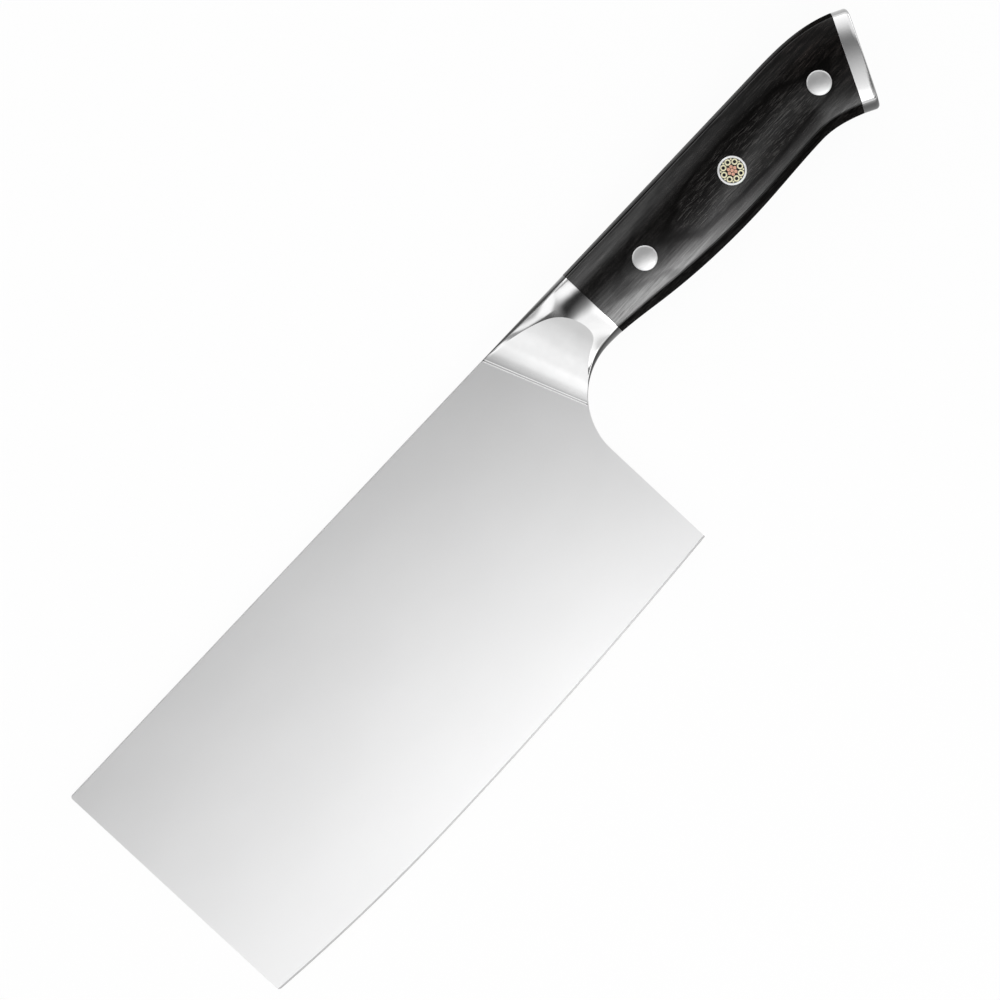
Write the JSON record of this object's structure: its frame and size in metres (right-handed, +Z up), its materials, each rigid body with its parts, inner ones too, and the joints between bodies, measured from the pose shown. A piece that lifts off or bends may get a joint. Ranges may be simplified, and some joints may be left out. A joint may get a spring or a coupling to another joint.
{
  "type": "cleaver",
  "caption": "Kitchen cleaver with a tall flat-ground blade, scalloped bolster, full tang, black wood scales, flush rivets, a mosaic pin and a slanted steel butt cap.",
  "frame": {"origin": "middle of the box's underside, with the cleaver lying on its side", "axes": "+X along the knife towards the butt, +Y across the blade towards the spine, +Z up through the thickness out of the shown side"},
  "size_m": [0.3206, 0.086, 0.0196],
  "materials": {
    "blade_steel": "fine satin, ground flat, polished at the bolster",
    "polished_steel": "polished",
    "rivet_steel": "satin, ground flush",
    "black_wood": "black stained laminated wood, glossy, fine grain along the handle",
    "brass": "ground flush, satin",
    "copper": "copper, ground flush, satin",
    "black_resin": "cast black resin"
  },
  "bodies": {
    "root": {"blade": "blade_steel", "scale_upper": "black_wood", "scale_lower": "black_wood", "end_cap": "polished_steel", "mosaic_outer_tube": "polished_steel", "mosaic_resin": "black_resin", "front_rivet_male": "rivet_steel", "front_rivet_female": "rivet_steel", "rear_rivet_male": "rivet_steel", "rear_rivet_female": "rivet_steel", "mosaic_brass_tube_1": "brass", "mosaic_brass_tube_2": "brass", "mosaic_brass_tube_3": "brass", "mosaic_brass_tube_4": "brass", "mosaic_brass_tube_5": "brass", "mosaic_brass_tube_6": "brass", "mosaic_brass_tube_7": "brass", "mosaic_brass_tube_8": "brass", "mosaic_gap_wire_1": "brass", "mosaic_gap_wire_2": "brass", "mosaic_gap_wire_3": "brass", "mosaic_gap_wire_4": "brass", "mosaic_gap_wire_5": "brass", "mosaic_gap_wire_6": "brass", "mosaic_gap_wire_7": "brass", "mosaic_gap_wire_8": "brass", "mosaic_tube_core_1": "black_resin", "mosaic_tube_core_2": "black_resin", "mosaic_tube_core_3": "black_resin", "mosaic_tube_core_4": "black_resin", "mosaic_tube_core_5": "black_resin", "mosaic_tube_core_6": "black_resin", "mosaic_tube_core_7": "black_resin", "mosaic_tube_core_8": "black_resin", "mosaic_copper_rod_1": "copper", "mosaic_copper_rod_2": "copper", "mosaic_copper_rod_3": "copper", "mosaic_copper_rod_4": "copper", "mosaic_copper_rod_5": "copper", "mosaic_copper_rod_6": "copper", "mosaic_copper_rod_7": "copper"}
  },
  "joints": []
}
